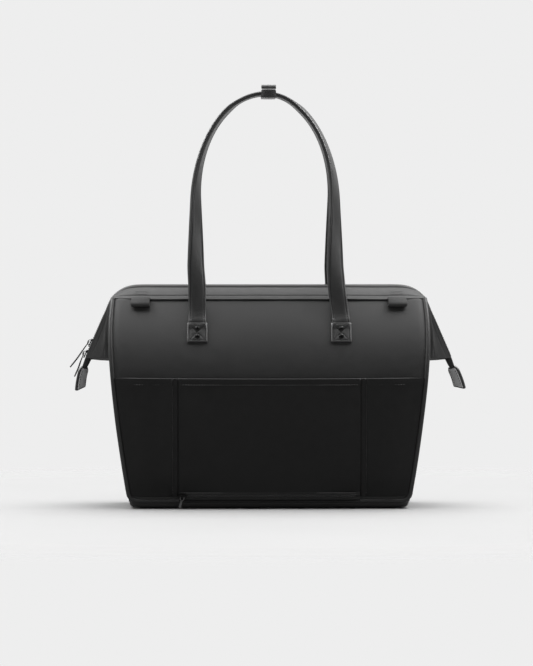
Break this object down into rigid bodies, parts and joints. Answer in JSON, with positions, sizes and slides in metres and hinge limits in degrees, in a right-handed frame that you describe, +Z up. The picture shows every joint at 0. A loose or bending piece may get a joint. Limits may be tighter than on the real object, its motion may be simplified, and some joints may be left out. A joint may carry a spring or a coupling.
{
  "type": "diaper bag",
  "caption": "Structured black diaper tote with a hinged steel mouth frame, zipped top, luggage sleeve, slip pockets and two long arched handles.",
  "frame": {"origin": "on the floor under the middle of the base panel", "axes": "+Z up through the handles; +X to the right as the luggage-sleeve face is viewed; -Y out of the luggage-sleeve face, which is the back of the bag"},
  "size_m": [0.5134, 0.1796, 0.55],
  "materials": {
    "shell": "matte fine-grained coated fabric",
    "leather": "matte fine-grained leather",
    "webbing": "woven webbing",
    "zip": "woven zip tape with moulded teeth",
    "lining": "plain woven lining",
    "board": "matte sheet",
    "steel": "plain drawn wire",
    "gunmetal": "satin black plating"
  },
  "bodies": {
    "bag": {"base_panel": "shell", "base_board": "board", "lower_back_panel": "shell", "lower_front_panel": "shell", "left_gusset": "shell", "right_gusset": "shell", "left_gusset_fold": "shell", "right_gusset_fold": "shell", "lining": "lining", "inner_pocket": "lining", "back_piping": "leather", "front_piping": "leather", "left_slip_pocket": "shell", "luggage_sleeve": "shell", "right_slip_pocket": "shell", "sleeve_zip": "zip", "front_pocket": "shell", "left_zip_tail": "zip", "right_zip_tail": "zip", "frame_pins": "steel"},
    "back_mouth": {"upper_back_panel": "shell", "back_band": "shell", "back_facing": "lining", "back_frame": "steel", "left_back_ear": "shell", "right_back_ear": "shell", "back_zip_tape": "zip", "back_left_patch": "leather", "back_right_patch": "leather", "back_rivets": "gunmetal"},
    "front_mouth": {"upper_front_panel": "shell", "front_band": "shell", "front_facing": "lining", "front_frame": "steel", "left_front_ear": "shell", "right_front_ear": "shell", "front_zip_tape": "zip", "front_left_patch": "leather", "front_right_patch": "leather", "front_rivets": "gunmetal"},
    "back_strap": {"back_handle": "leather", "back_keeper": "leather"},
    "front_strap": {"front_handle": "leather", "front_keeper": "leather", "keeper_stud": "gunmetal"},
    "closing_tab": {"keeper_tab": "leather", "snap_cap": "gunmetal"},
    "upper_slide": {"upper_slider": "gunmetal"},
    "upper_pull": {"upper_puller": "gunmetal"},
    "lower_slide": {"lower_slider": "gunmetal"},
    "lower_pull": {"lower_puller": "gunmetal"},
    "sleeve_slide": {"sleeve_slider": "gunmetal"},
    "sleeve_pull": {"sleeve_puller": "gunmetal"},
    "left_loop": {"left_webbing_loop": "webbing"},
    "right_loop": {"right_webbing_loop": "webbing"},
    "left_tab": {"left_zip_tab": "leather"},
    "right_tab": {"right_zip_tab": "leather"}
  },
  "joints": [
    {"name": "back_mouth_hinge", "type": "hinge", "parent": "bag", "child": "back_mouth", "pos_m": [0, 0, 0.195], "axis": [1, 0, 0], "range_deg": [0, 30], "deforming": ["left_gusset_fold", "right_gusset_fold"]},
    {"name": "front_mouth_hinge", "type": "hinge", "parent": "bag", "child": "front_mouth", "pos_m": [0, 0, 0.195], "axis": [-1, 0, 0], "range_deg": [0, 30]},
    {"name": "back_handle_hinge", "type": "hinge", "parent": "back_mouth", "child": "back_strap", "pos_m": [0, -0.06017, 0.242], "axis": [1, 0, 0], "range_deg": [0, 80]},
    {"name": "front_handle_hinge", "type": "hinge", "parent": "front_mouth", "child": "front_strap", "pos_m": [0, 0.06017, 0.242], "axis": [-1, 0, 0], "range_deg": [0, 80]},
    {"name": "closing_tab_hinge", "type": "hinge", "parent": "back_strap", "child": "closing_tab", "pos_m": [0, -0.025, 0.5436], "axis": [1, 0, 0], "range_deg": [0, 100]},
    {"name": "upper_slider_slide", "type": "slide", "parent": "bag", "child": "upper_slide", "axis": [0.4002, 0, 0.9164], "range_m": [0, 0.055]},
    {"name": "upper_puller_hinge", "type": "hinge", "parent": "upper_slide", "child": "upper_pull", "pos_m": [-0.23481, 0, 0.21409], "axis": [0, 1, 0], "range_deg": [0, 100]},
    {"name": "lower_slider_slide", "type": "slide", "parent": "bag", "child": "lower_slide", "axis": [0.4002, 0, 0.9164], "range_m": [0, 0.055]},
    {"name": "lower_puller_hinge", "type": "hinge", "parent": "lower_slide", "child": "lower_pull", "pos_m": [-0.24121, 0, 0.19942], "axis": [0, 1, 0], "range_deg": [0, 10]},
    {"name": "sleeve_slider_slide", "type": "slide", "parent": "bag", "child": "sleeve_slide", "axis": [1, 0, 0], "range_m": [0, 0.224]},
    {"name": "sleeve_puller_hinge", "type": "hinge", "parent": "sleeve_slide", "child": "sleeve_pull", "pos_m": [-0.112, -0.08858, 0.017], "axis": [-1, 0, 0], "range_deg": [0, 120]},
    {"name": "left_loop_hinge", "type": "hinge", "parent": "back_mouth", "child": "left_loop", "pos_m": [-0.166, -0.03847, 0.271], "axis": [-1, 0, 0], "range_deg": [0, 80]},
    {"name": "right_loop_hinge", "type": "hinge", "parent": "back_mouth", "child": "right_loop", "pos_m": [0.166, -0.03847, 0.271], "axis": [-1, 0, 0], "range_deg": [0, 80]},
    {"name": "left_tab_hinge", "type": "hinge", "parent": "bag", "child": "left_tab", "pos_m": [-0.24074, 0, 0.18015], "axis": [0, 1, 0], "range_deg": [-25, 0]},
    {"name": "right_tab_hinge", "type": "hinge", "parent": "bag", "child": "right_tab", "pos_m": [0.24074, 0, 0.18015], "axis": [0, 1, 0], "range_deg": [-30, 45]}
  ],
  "couplings": [
    {"joint": "front_mouth_hinge", "follows": "back_mouth_hinge", "ratio": 1},
    {"joint": "lower_slider_slide", "follows": "upper_slider_slide", "ratio": 1}
  ]
}
